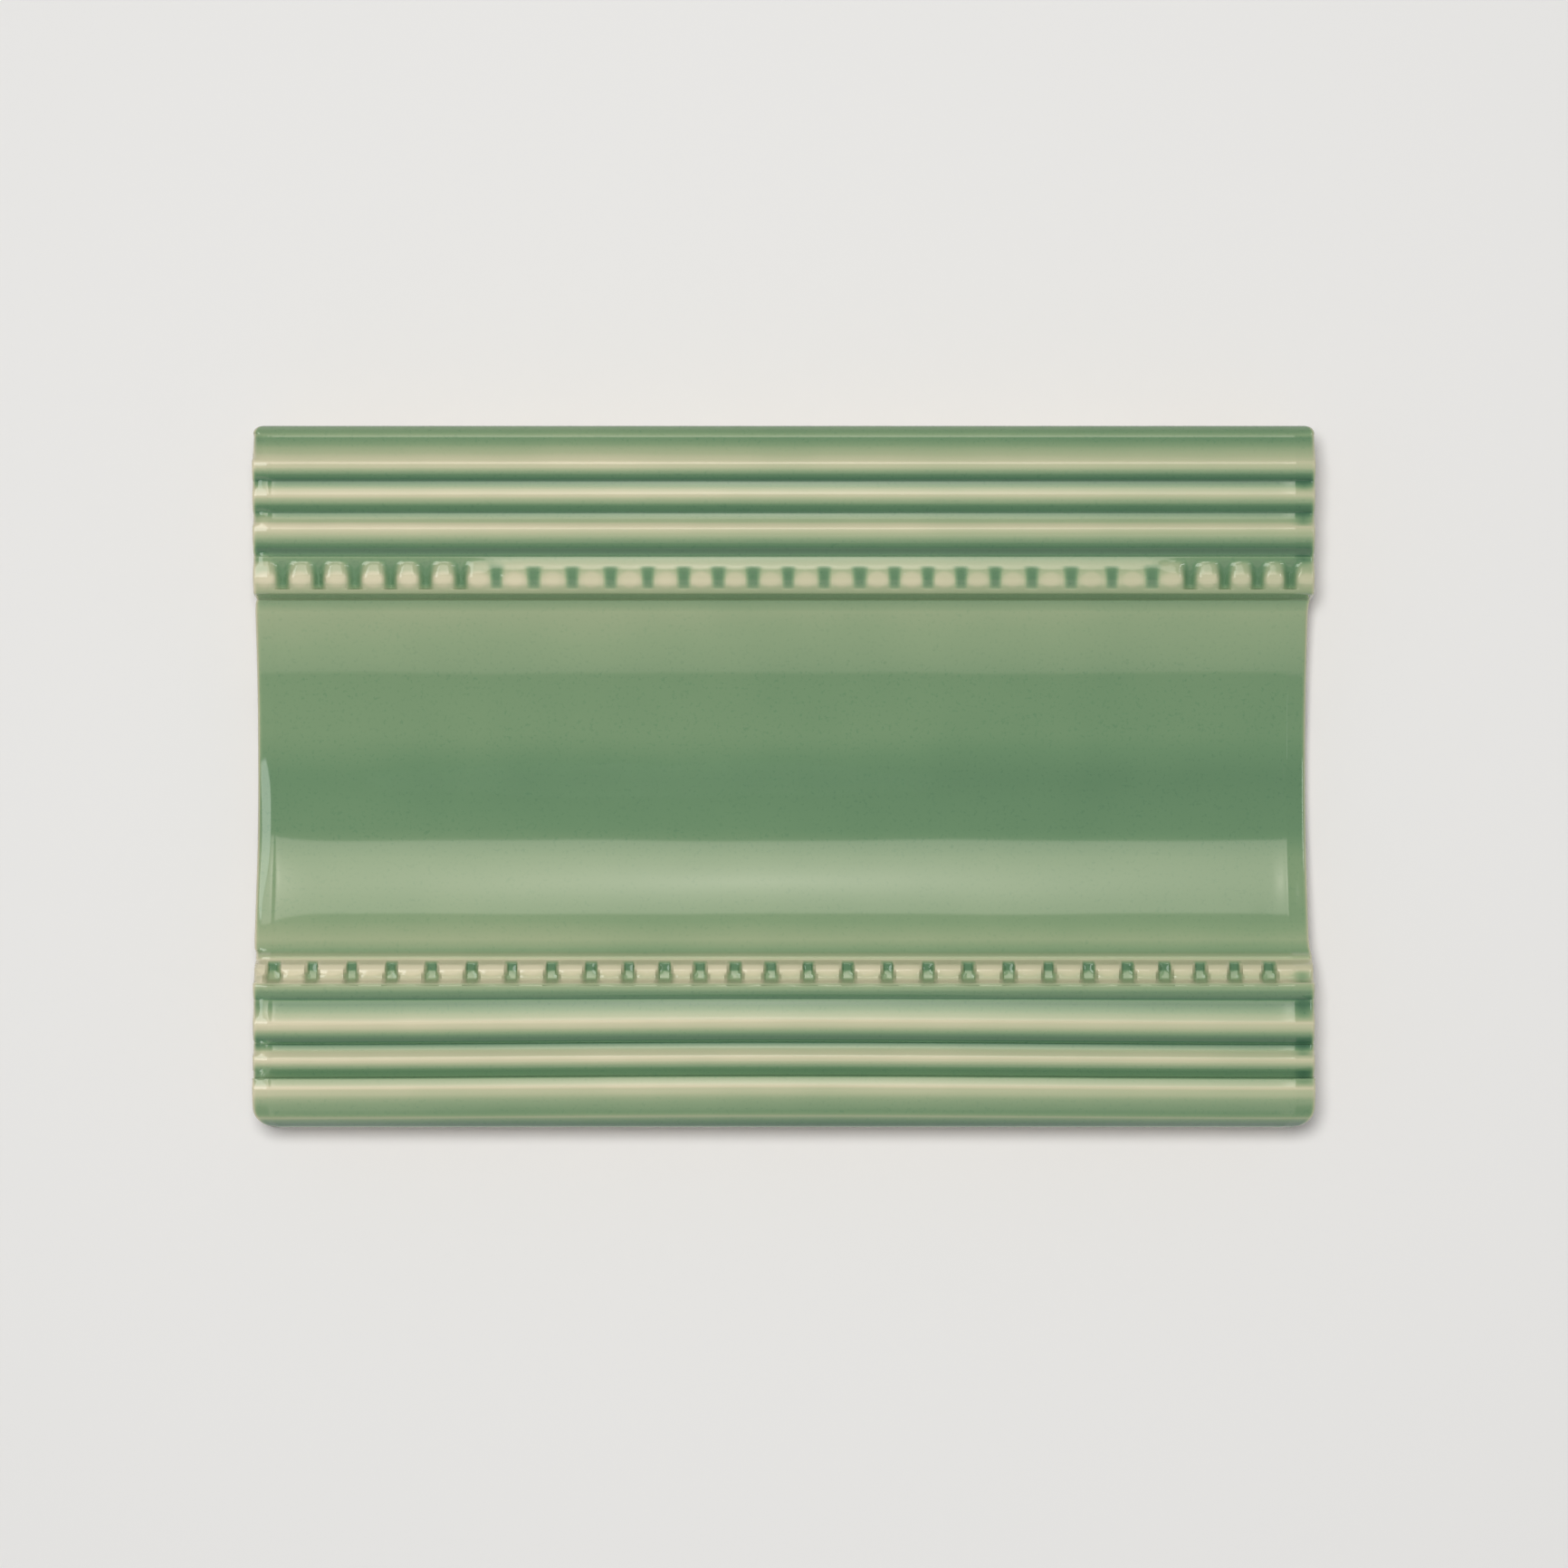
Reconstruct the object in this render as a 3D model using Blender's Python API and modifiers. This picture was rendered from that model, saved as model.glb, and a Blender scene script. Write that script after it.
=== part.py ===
"""Cornice trim tile: one glazed, fired piece with a cove, reeds and two rows of beads.

The tile lies on its back. X runs along the course, +Y is the edge that is uppermost on
the wall, and +Z points out of the wall. The origin is the middle of the back face.
"""
import math

import bmesh
import bpy
from mathutils import Matrix

MM = 0.001

# Driving dimensions
LENGTH = 152.4 * MM        # along the course, to match six inch tiles
HEIGHT = 101.0 * MM        # up the wall, four inches with its joint
END_ROLL = 0.5 * MM        # softened rim round both ends
UPPER_CORNER = 1.2 * MM    # plan radius of the two upper corners
LOWER_CORNER = 3.0 * MM    # plan radius of the two lower corners

# Back: shallow keying grooves for the adhesive
KEY_COUNT = 4
KEY_PITCH = 19.0 * MM
KEY_MOUTH = 8.0 * MM
KEY_FLOOR = 6.4 * MM
KEY_DEPTH = 0.9 * MM
BACK_CHAMFER = 0.8 * MM

# Cove: one hollow arc between the two mouldings
COVE_RADIUS = 57.0 * MM
COVE_CENTRE_Y = 1.7 * MM
COVE_FLOOR_Z = 8.2 * MM
COVE_TOP_Y = 25.4 * MM
COVE_BOTTOM_Y = -24.9 * MM
COVE_STEPS = 22

# Mouldings, as (height up the tile, height off the wall). Each reed is the foot of its
# rise, its crest and the quirk it falls to. Listed from the upper edge down.
UPPER_SIDE = (HEIGHT / 2, 17.3 * MM)
UPPER_ARRIS = (49.1 * MM, 19.4 * MM)
UPPER_REEDS = [
    ((48.6 * MM, 19.55 * MM), (44.7 * MM, 21.8 * MM), (42.55 * MM, 20.7 * MM)),
    ((42.4 * MM, 20.75 * MM), (40.4 * MM, 21.25 * MM), (37.95 * MM, 19.95 * MM)),
    ((37.8 * MM, 20.0 * MM), (35.45 * MM, 20.9 * MM), (31.75 * MM, 19.3 * MM)),
]
UPPER_BEAD_BED = [
    (31.6 * MM, 19.45 * MM),   # fillet under the third reed
    (30.3 * MM, 19.85 * MM),
    (29.5 * MM, 18.95 * MM),   # bed that the beads sit in
    (26.75 * MM, 18.5 * MM),
    (26.4 * MM, 18.6 * MM),    # lip
    (25.9 * MM, 14.3 * MM),    # foot of the step down to the cove
]
LOWER_BEAD_BED = [
    (-25.7 * MM, 15.65 * MM),  # arris at the lower end of the cove
    (-26.35 * MM, 15.9 * MM),
    (-26.7 * MM, 16.55 * MM),  # bed that the beads sit in
    (-28.95 * MM, 17.0 * MM),
    (-29.85 * MM, 20.0 * MM),  # back of the bed
]
LOWER_RIB = ((-30.2 * MM, 20.25 * MM), (-31.8 * MM, 19.55 * MM))
LOWER_REEDS = [
    ((-31.95 * MM, 19.6 * MM), (-35.1 * MM, 20.55 * MM), (-38.15 * MM, 19.25 * MM)),
    ((-38.3 * MM, 19.7 * MM), (-40.3 * MM, 20.7 * MM), (-42.9 * MM, 19.6 * MM)),
    ((-43.05 * MM, 21.0 * MM), (-44.5 * MM, 21.4 * MM), (-48.6 * MM, 19.7 * MM)),
]
LOWER_BEVEL = (-50.2 * MM, 17.7 * MM)
LOWER_SIDE = (-HEIGHT / 2, 17.0 * MM)
RISE_FULLNESS = 1.1        # 1 is a straight flank, 2 is a round one
FALL_FULLNESS = 1.4
FLANK_STEPS = 5
SHOULDER_STEPS = 4

# Beads: number in the row, even pitch, first centre, and how the hand spacing drifts
# from even, as (waves along the tile, amplitude, share of a turn) added together;
# then the row's height up the tile and off the wall, half sizes and tilt about X
UPPER_BEADS = {
    "count": 30, "pitch": 5.15 * MM, "first_x": -74.2 * MM,
    "drift": [(2, 0.67 * MM, 0.42), (3, 0.27 * MM, 0.11), (4, 0.36 * MM, -0.21)],
    "y": 28.65 * MM, "z": 18.75 * MM, "half": (1.6 * MM, 1.9 * MM, 1.4 * MM),
    "tilt": -6.0,
}
LOWER_BEADS = {
    "count": 28, "pitch": 5.488 * MM, "first_x": -75.15 * MM,
    "drift": [(1, 0.22 * MM, 0.01), (2, 0.92 * MM, -0.35), (4, 0.14 * MM, -0.20)],
    "y": -27.85 * MM, "z": 16.9 * MM, "half": (1.6 * MM, 1.45 * MM, 1.2 * MM),
    "tilt": 14.0,
}
BEAD_SEGMENTS = 10
BEAD_RINGS = 6
BEAD_END_CLEAR = 0.7 * MM  # a bead that would pass the end of the tile stops here


def flank(crest, foot, fullness, steps):
    """Points from a crest down to its foot, rounded over at the crest."""
    points = []
    for i in range(1, steps + 1):
        t = i / steps
        points.append((crest[0] + (foot[0] - crest[0]) * t,
                       crest[1] + (foot[1] - crest[1]) * t ** fullness))
    return points


def reed(foot, crest, quirk):
    """Points up one side of a reed and down the other."""
    rise = flank(crest, foot, RISE_FULLNESS, FLANK_STEPS)
    return rise[::-1] + [crest] + flank(crest, quirk, FALL_FULLNESS, FLANK_STEPS)


def shoulder(side, top, steps):
    """Quarter ellipse from the upright side of the tile round to its top."""
    points = []
    for i in range(steps + 1):
        a = math.pi / 2 * i / steps
        points.append((top[0] + (side[0] - top[0]) * math.cos(a),
                       side[1] + (top[1] - side[1]) * math.sin(a)))
    return points


def cove_z(y):
    """How far the hollow of the cove stands off the wall at a height up the tile."""
    reach = y - COVE_CENTRE_Y
    return COVE_FLOOR_Z + COVE_RADIUS - math.sqrt(COVE_RADIUS ** 2 - reach ** 2)


def cove():
    """Points down the hollow arc."""
    points = []
    for i in range(COVE_STEPS + 1):
        y = COVE_TOP_Y + (COVE_BOTTOM_Y - COVE_TOP_Y) * i / COVE_STEPS
        points.append((y, cove_z(y)))
    return points


def keyed_back():
    """Back line from the lower edge to the upper one, with its keying grooves."""
    points = [(-HEIGHT / 2, BACK_CHAMFER), (-HEIGHT / 2 + BACK_CHAMFER, 0.0)]
    for i in range(KEY_COUNT):
        y = (i - (KEY_COUNT - 1) / 2) * KEY_PITCH
        points += [(y - KEY_MOUTH / 2, 0.0), (y - KEY_FLOOR / 2, KEY_DEPTH),
                   (y + KEY_FLOOR / 2, KEY_DEPTH), (y + KEY_MOUTH / 2, 0.0)]
    points += [(HEIGHT / 2 - BACK_CHAMFER, 0.0), (HEIGHT / 2, BACK_CHAMFER)]
    return points


def section():
    """The whole cross-section, as (height up the tile, height off the wall)."""
    points = keyed_back()
    points += shoulder(UPPER_SIDE, UPPER_ARRIS, SHOULDER_STEPS)
    for foot, crest, quirk in UPPER_REEDS:
        points += reed(foot, crest, quirk)
    points += UPPER_BEAD_BED
    points += cove()
    points += LOWER_BEAD_BED
    rib_crest, rib_quirk = LOWER_RIB
    points += [rib_crest] + flank(rib_crest, rib_quirk, FALL_FULLNESS, FLANK_STEPS)
    for foot, crest, quirk in LOWER_REEDS:
        points += reed(foot, crest, quirk)
    points += [LOWER_BEVEL, LOWER_SIDE]
    return points


def outline_curve(name, points, thickness):
    """A flat closed outline with a thickness, as a 2D curve."""
    curve = bpy.data.curves.new(name, "CURVE")
    curve.dimensions = "2D"
    curve.fill_mode = "BOTH"
    curve.extrude = thickness / 2
    spline = curve.splines.new("POLY")
    spline.points.add(len(points) - 1)
    for point, (x, y) in zip(spline.points, points):
        point.co = (x, y, 0.0, 1.0)
    spline.use_cyclic_u = True
    return bpy.data.objects.new(name, curve)


def curve_to_mesh(curve_object, collection):
    """Swap a curve object for a welded mesh object in the same place."""
    collection.objects.link(curve_object)
    bpy.context.view_layer.update()
    depsgraph = bpy.context.evaluated_depsgraph_get()
    mesh = bpy.data.meshes.new_from_object(curve_object.evaluated_get(depsgraph))
    bm = bmesh.new()
    bm.from_mesh(mesh)
    bmesh.ops.remove_doubles(bm, verts=bm.verts, dist=0.00001)
    bmesh.ops.dissolve_limit(bm, angle_limit=0.001, verts=bm.verts, edges=bm.edges)
    bmesh.ops.recalc_face_normals(bm, faces=bm.faces)
    bm.to_mesh(mesh)
    bm.free()
    name = curve_object.name
    matrix = curve_object.matrix_world.copy()
    bpy.data.objects.remove(curve_object)
    mesh.name = name
    solid = bpy.data.objects.new(name, mesh)
    solid.matrix_world = matrix
    collection.objects.link(solid)
    return solid


def soften_ends(tile):
    """Roll the rim of both ends over with a small bevel."""
    weights = tile.data.attributes.new("bevel_weight_edge", "FLOAT", "EDGE")
    end = LENGTH / 2 - 0.01 * MM
    for edge in tile.data.edges:
        a, b = (tile.data.vertices[i].co for i in edge.vertices)
        on_end = abs(a.z) > end and abs(b.z) > end and a.z * b.z > 0
        on_back = max(a.y, b.y) < KEY_DEPTH + 0.05 * MM
        if on_end and not on_back:
            weights.data[edge.index].value = 1.0
    bevel = tile.modifiers.new("end_roll", "BEVEL")
    bevel.limit_method = "WEIGHT"
    bevel.width = END_ROLL
    bevel.segments = 2
    bevel.use_clamp_overlap = True


def corner_cutter(x_side, y_side, radius, collection):
    """Outside of one rounded corner in plan, as a prism."""
    clear = 0.02 * MM
    reach = 3 * MM
    centre_x = LENGTH / 2 - radius + clear
    centre_y = HEIGHT / 2 - radius + clear
    points = []
    steps = 6
    for i in range(steps + 1):
        a = math.pi / 2 * i / steps
        points.append((centre_x + radius * math.cos(a), centre_y + radius * math.sin(a)))
    points += [(centre_x, centre_y + radius + reach),
               (centre_x + radius + reach, centre_y + radius + reach),
               (centre_x + radius + reach, centre_y)]
    points = [(x * x_side, y * y_side) for x, y in points]
    if x_side * y_side < 0:
        points.reverse()
    cutter = outline_curve("corner_cutter", points, 60 * MM)
    return curve_to_mesh(cutter, collection)


def bead_row(name, row, collection):
    """One row of separate oval beads, each half sunk in its bed."""
    bm = bmesh.new()
    half_x, half_y, half_z = row["half"]
    for i in range(row["count"]):
        even_x = row["first_x"] + i * row["pitch"]
        x = even_x
        for waves, amplitude, turn in row["drift"]:
            x += amplitude * math.sin(math.tau * (waves * even_x / LENGTH + turn))
        limit = LENGTH / 2 - BEAD_END_CLEAR - half_x
        x = max(-limit, min(limit, x))
        place = (Matrix.Translation((x, row["y"], row["z"]))
                 @ Matrix.Rotation(math.radians(-row["tilt"]), 4, "X")
                 @ Matrix.Diagonal((half_x, half_y, half_z, 1.0)))
        bmesh.ops.create_uvsphere(bm, u_segments=BEAD_SEGMENTS, v_segments=BEAD_RINGS,
                                  radius=1.0, matrix=place)
    mesh = bpy.data.meshes.new(name)
    bm.to_mesh(mesh)
    bm.free()
    beads = bpy.data.objects.new(name, mesh)
    collection.objects.link(beads)
    return beads


def boolean(target, other, operation):
    """Cut the target by another solid, or join them, and hide the other one."""
    step = target.modifiers.new(other.name, "BOOLEAN")
    step.operation = operation
    step.solver = "EXACT"
    step.object = other
    other.hide_render = True
    other.display_type = "WIRE"


def glaze_material():
    """Celadon green gloss glaze over a cream body."""
    material = bpy.data.materials.new("celadon_glaze")
    material.use_nodes = True
    shader = material.node_tree.nodes["Principled BSDF"]
    shader.inputs["Base Color"].default_value = (0.20, 0.30, 0.17, 1.0)
    shader.inputs["Roughness"].default_value = 0.12
    shader.inputs["Metallic"].default_value = 0.0
    return material


def main():
    for item in list(bpy.data.objects):
        bpy.data.objects.remove(item, do_unlink=True)
    parts = bpy.data.collections.new("cornice_trim_tile")
    cutters = bpy.data.collections.new("cutters")
    bpy.context.scene.collection.children.link(parts)
    bpy.context.scene.collection.children.link(cutters)

    outline = outline_curve("cornice_tile", section(), LENGTH)
    outline.rotation_euler = (math.pi / 2, 0.0, math.pi / 2)
    tile = curve_to_mesh(outline, parts)
    tile.data.materials.append(glaze_material())
    soften_ends(tile)

    for x_side in (-1, 1):
        for y_side, radius in ((1, UPPER_CORNER), (-1, LOWER_CORNER)):
            boolean(tile, corner_cutter(x_side, y_side, radius, cutters), "DIFFERENCE")
    boolean(tile, bead_row("upper_beads", UPPER_BEADS, cutters), "UNION")
    boolean(tile, bead_row("lower_beads", LOWER_BEADS, cutters), "UNION")


main()
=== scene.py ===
import math

import bpy
import numpy as np
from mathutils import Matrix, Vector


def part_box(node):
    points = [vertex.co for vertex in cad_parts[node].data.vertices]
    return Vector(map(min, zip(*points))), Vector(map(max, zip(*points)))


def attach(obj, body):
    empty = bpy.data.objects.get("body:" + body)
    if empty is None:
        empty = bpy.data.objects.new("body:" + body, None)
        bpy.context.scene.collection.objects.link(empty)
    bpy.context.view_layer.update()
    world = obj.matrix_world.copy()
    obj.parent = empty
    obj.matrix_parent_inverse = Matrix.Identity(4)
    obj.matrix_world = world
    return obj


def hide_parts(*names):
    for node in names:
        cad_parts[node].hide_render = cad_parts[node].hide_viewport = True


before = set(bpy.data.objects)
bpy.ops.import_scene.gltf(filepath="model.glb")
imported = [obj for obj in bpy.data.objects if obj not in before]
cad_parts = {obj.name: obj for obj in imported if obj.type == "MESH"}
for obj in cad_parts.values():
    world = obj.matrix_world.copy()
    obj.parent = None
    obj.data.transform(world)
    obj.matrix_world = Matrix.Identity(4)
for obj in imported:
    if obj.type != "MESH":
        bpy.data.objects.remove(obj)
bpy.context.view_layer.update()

mm = 0.001
tileLow, tileHigh = [np.array(corner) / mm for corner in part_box("cornice_tile")]
tileLength = float(tileHigh[0] - tileLow[0])
tileHeight = float(tileHigh[1] - tileLow[1])

# The moulded section, in millimetres and degrees. Each run is read from the upper edge
# down the face: height up the tile, slope of the face (+ looks up), depth of glaze. That depth
# is partly real pooling and partly painted shade: deeper, darker glaze where the face turns
# down and along the lower edge, where less light falls.
upperMoulding = {
    "sideTop": 17.3, "shoulderRadius": 2.25, "shoulderEnd": 24, "sideGlaze": .57,
    "settleFrom": 26.3,                     # the step below here is stretched to meet the cove
    "run": [
        (49.17, 24, .45), (48.92, 15, .44), (48.80, 15, .56), (48.60, 23, .66),       # fine ledge
        (48.10, 33, .59), (47.10, 35, .33), (45.80, 32, .14), (45.22, 25, .10),
        (45.10, 21, .06), (44.80, 10, .07), (44.64, 0, .11), (44.30, -14, .12),       # first reed
        (43.80, -28, .40), (43.30, -33, .76), (42.80, -34, .98), (42.46, -31, 1.23),
        (42.38, 8, 1.25), (42.28, 13, .97), (41.30, 18, .20), (40.68, 16, .08),
        (40.42, 10, .07), (40.30, 0, .08), (40.10, -13, .11), (39.70, -25, .30),      # second reed
        (39.20, -32, .51), (38.70, -34, .90), (38.10, -34, .95), (37.94, -31, 1.08),
        (37.86, 8, 1.10), (37.76, 13, .81), (37.10, 18, .39), (36.85, 20, .31),
        (36.64, 23, .34), (36.35, 34, .12), (35.95, 31, .05), (35.74, 21, .04),
        (35.46, 10, .10), (35.34, 0, .10), (34.80, -13, .18), (34.20, -25, .38),      # third reed
        (33.70, -31, .61), (33.10, -33, .80), (32.50, -30, 1.19), (32.00, -20, .95),
        (31.74, -12, .78), (31.70, 60, .75), (31.62, 60, .74), (31.58, 9, .63),
        (31.46, 13, .52), (30.95, 18, .28), (30.35, 18, .18), (29.90, 13, .19),
        (29.65, 6, .22), (29.20, 1, .18), (28.90, 0, .15), (28.40, -13, .10),         # bead crowns
        (27.80, -22, .10), (27.30, -32, .18), (26.75, -36, .22), (26.40, -44, .30),   # lip
        (26.22, -70, .42), (26.12, -84, .53), (25.72, -84, .41), (25.52, -60, .45),   # step
        (25.40, -25, .55),
    ],
}
cove = {
    # an arc, lowest at centre; span is what counts as cove at the tile's ends
    "radius": 57.0, "centre": 1.7, "floor": 8.2, "bottom": -24.9, "span": (-25, 24.5),
    "glaze": [(25.4, .60), (24.2, .36), (22, .42), (20, .46), (17, .53), (14.5, .61), (6, .61),
              (3, .69), (0, .77), (-8, .70), (-12, .48), (-16, .47), (-20.4, .49), (-22, .39),
              (-23.6, .30), (-24.9, .46)],
}
lowerMoulding = {
    "run": [
        (-24.90, 28, .48), (-25.10, 30, .50), (-25.35, 50, .42), (-25.60, 58, .26),
        (-25.85, 42, .26), (-26.05, 12, .24), (-26.22, 2, .15), (-26.35, 40, .12),    # arris
        (-26.50, 70, .05), (-26.95, 71, .03), (-27.08, 50, .05), (-27.25, 40, .04),
        (-27.60, 36, .02), (-27.75, 24, 0), (-27.90, 12, .02), (-28.30, 5, .08),      # bead crowns
        (-28.80, 14, .14), (-29.10, 40, .09), (-29.25, 71, .01), (-29.55, 75, .01),
        (-29.65, 50, .08), (-29.72, 27, .20), (-29.95, 20, .30), (-30.15, 0, .33),    # rib
        (-30.45, -14, .43), (-30.90, -26, .70), (-31.40, -29, .79), (-31.82, -28, 1.02),
        (-31.92, 8, 1.06), (-32.02, 13, .67), (-32.60, 18, .81), (-34.00, 20, .29),
        (-34.80, 20, .15), (-35.12, 11, 0), (-35.24, 0, .02), (-35.60, -13, .09),     # fourth reed
        (-36.10, -24, .14), (-36.70, -27, .44), (-37.20, -28, .85), (-37.70, -28, 1.14),
        (-38.20, -28, .79), (-38.22, 80, .83), (-38.28, 80, .96), (-38.30, 8, 1.00),
        (-38.40, 13, .95), (-39.05, 20, .38), (-39.22, 25, .19), (-39.45, 42, .15),
        (-39.85, 42, .10), (-40.06, 22, .13), (-40.36, 10, .01), (-40.46, 0, .03),    # fifth reed
        (-40.80, -14, .10), (-41.20, -25, .25), (-41.70, -28, .61), (-42.20, -28, .81),
        (-42.90, -28, .68), (-42.92, 83, .63), (-43.08, 83, .57), (-43.10, 8, .59),
        (-43.20, 13, .42), (-43.90, 20, .24), (-44.20, 19, .11), (-44.44, 11, 0),
        (-44.56, 0, .04), (-44.90, -10, .15), (-45.50, -20, .18), (-46.20, -26, .40), # nose
        (-47.00, -28, .52), (-48.10, -28, .62), (-48.50, -30, .47), (-48.65, -40, .38),
        (-48.85, -52, .22), (-49.20, -56, .52), (-49.80, -60, .93), (-50.25, -66, 1.16),
        (-50.42, -77, .54),
    ],
    "sideGlaze": .55, "sideDrop": .25,
}

# Two rows of beads pressed along the ribs. The section above runs along
# the crowns; the gaps between beads follow runs of their own, read the same way.
upperBeads = {
    "count": 30, "pitch": 5.15, "first": -74.2,
    "drift": [(2, .67, .42), (3, .27, .11), (4, .36, -.21)],   # waves, size, turn
    "gapRun": [(30.45, 12, .25), (30.30, -22, .40), (30.00, -42, .60), (29.60, -40, .72),
               (29.35, -20, .78), (28.60, -6, .80), (27.70, -7, .78), (27.35, -20, .62),
               (27.00, -34, .40)],
    "gapMid": 28.0, "gapHalfLength": 2.3, "gapHalfWidth": 1.4, "gapFlat": .05, "flare": .45,
    "flareMost": 2.0, "glazeFrom": .04, "middleDepth": .08, "deepen": (.4, .85),
    "crown": .04, "crownMid": 28.3, "crownHalf": (1.65, 1.45), "crownGlaze": .02, "seed": 11,
    # towards the tile's ends the beads stand clear of the rib, and the gaps reach up to it
    "endRun": [(31.45, 8, .55), (31.20, -6, .62), (30.95, 4, .55), (30.80, 26, .40),
               (30.60, 24, .30), (30.40, 20, .25), (29.60, 17, .24), (28.95, 11, .15),
               (28.70, 2, .10), (28.30, -14, .10), (27.80, -22, .14), (27.40, -33, .24)],
    "endGapRun": [(31.40, 8, .55), (31.20, -20, .62), (30.90, -30, .70), (30.40, -22, .74),
                  (29.60, -12, .78), (28.60, -5, .80), (27.70, -7, .78), (27.35, -20, .62),
                  (27.00, -34, .40)],
    "endFrom": (36, 50.5), "endTo": (50, 61),       # out from the middle, to the left and right
}
lowerBeads = {
    "count": 28, "pitch": 5.488, "first": -75.15,
    "drift": [(1, .22, .01), (2, .92, -.35), (4, .14, -.20)],
    "gapRun": [(-26.35, 40, .20), (-26.55, 58, .22), (-26.75, 50, .42), (-26.88, 15, .72),
               (-27.05, 3, .86), (-27.78, 4, .84), (-27.93, 14, .60), (-28.20, 16, .48),
               (-29.00, 19, .42), (-29.20, 60, .36), (-29.30, 80, .24), (-29.62, 82, .12),
               (-29.75, 40, .22), (-29.95, 20, .30)],
    "gapMid": -27.5, "gapHalfLength": 1.5, "gapHalfWidth": 1.10, "gapFlat": .45, "flare": .55,
    "flareMost": .5, "glazeFrom": .5,
    "crown": .12, "crownMid": -27.7, "crownHalf": (1.7, 1.2), "crownGlaze": .01, "seed": 12,
}
beadWork = {
    "gapWander": .06, "gapSpread": (.9, 1.08), "crownSpread": (.8, 1.15),   # no two beads alike
    "shallowGap": .12,                              # gaps shallower than this fade out
    "crownClear": .6, "crownFull": .8, "glazeFull": .95,    # how glaze leaves crowns, fills gaps
}
pressing = {"seed": 5, "size": .012, "waves": 9, "lengthX": (22, 70), "lengthY": (16, 45),
            "phase": (0, 7)}

# Edges of the tile. Glaze draws back from each end and dries as a low lip.
rims = {
    "endRoll": .42, "coveRoll": .2,                 # radius of the rolled rim, more in the cove
    "hollowRoll": (.9, .25),                        # more still in the quirks, at left and right
    "lipAt": 2.55, "lipSkew": .35, "lipHeight": .12, "lipInside": .5,
    "lipFall": 6.0, "coveFall": 1.2, "lipEase": .35,        # falls in degrees
    "reedsFrom": (27.5, 28.5), "reedsTo": (43.5, 44.5),     # to both sides of the cove
    "fillReach": 1.5, "fillShift": .60,     # quirks are read against the face averaged this far
    "fill": .95, "fillAt": 1.25, "fillWidth": .85, "fillKept": .75,     # left end of the quirks
    "rightFall": .03, "rightFallFrom": 2.7,
    "pool": .30, "clear": .2,               # glaze deepens in the right quirks; in the left ones thinner, paler glaze paints the pale patches of reflection
    "poolAt": 1.7, "poolWidth": 1.1,
    "fullHollow": {"fall": .22, "pool": .25, "roll": .3},   # depth of quirk for full effect
    "swell": .26, "swellMid": -17, "swellReach": 6, "swellIn": (4.0, 2.0),
    "tip": .20, "tipMid": -8, "tipReach": 7.6, "tipAt": 2.05, "tipEase": 2.2,  # left end of cove
    "coveShift": .3, "shiftFrom": (-26, -24), "shiftTo": (24.5, 26),
    "arrisAt": .15, "arrisWidth": .25, "arrisThin": .85,    # glaze thins on the arris
    "lowerCorner": 3.1, "upperCorner": 1.15, "cornerReach": 11,
    "backChamfer": .8, "wallGlaze": .6, "justBelow": .01,
    "bow": .17, "bowFrom": (30.5, 34), "bowTo": (49, 50.3),  # the lower moulding bows up a little
}

keyedBack = {
    "count": 4, "pitch": 19.0, "mouth": 8.0, "floor": 6.4, "depth": .9,
    "glaze": .5, "belowRim": 18,            # bare clay, far below the edge of the glaze
}

# How finely the mesh follows the section: steps and zones in millimetres, turns in degrees
meshing = {
    "runStep": .02, "evenStep": .05,
    "reedStep": .42, "beadStep": .24, "coveStep": 1.6, "turnPerRow": 11.0, "shoulderRows": 10,
    "beadZones": [(26.2, 31.2), (-29.9, -25.2)], "coveZones": [(-24.7, 24.9)],
    "fineZones": [(26.3, 31.4), (-29.9, -26.2)],
    "column": 1.65, "beadColumns": 5, "wideColumn": 1,
    "endColumns": [0, .04, .10, .18, .28, .38, .46, .7, 1.0, 1.3, 1.6, 1.85, 2.05, 2.2, 2.35,
                   2.5, 2.65, 2.85, 3.1, 3.6],
    "wallLevels": [.03, .07, .12, .17, .23, .29, .36, .44, .54, .66, .8, .92, 1.0],
    "wallFoot": 1.4, "footRoll": .35, "wallRoom": .1, "sharpFrom": 38,
}

# what each row of the section carries, in order
placeY, placeZ, inwardY, inwardZ, glazeAndShadeHere, belowRim, bareBack, fineRow, softZ = range(9)


def mouldRun(startZ, rows):
    # follow a run of slopes down the face, as rows of height up, height out and glaze
    rows = np.array(rows, float)
    span = rows[0, 0] - rows[-1, 0]
    steps = int(span / meshing["runStep"])
    y = np.linspace(rows[0, 0], rows[-1, 0], steps + 1)
    slope = np.interp(-y, -rows[:, 0], rows[:, 1])
    glaze = np.interp(-y, -rows[:, 0], rows[:, 2])
    rise = np.tan(np.radians(slope))
    z = startZ + np.concatenate([[0], np.cumsum((rise[1:] + rise[:-1]) / 2)]) * span / steps
    return np.stack([y, z, glaze], 1)


def coveHeight(y):
    radius, centre = cove["radius"], cove["centre"]
    return cove["floor"] + radius - np.sqrt(radius ** 2 - (y - centre) ** 2)


def shoulderArc():
    # round the upper side over to the face; the angle is that of the surface's normal
    radius = upperMoulding["shoulderRadius"]
    angles = np.radians(np.linspace(0, 90 - upperMoulding["shoulderEnd"],
                                    meshing["shoulderRows"]))
    y = tileHeight / 2 - radius * (1 - np.cos(angles))
    z = upperMoulding["sideTop"] + radius * np.sin(angles)
    return y, z, angles


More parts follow.
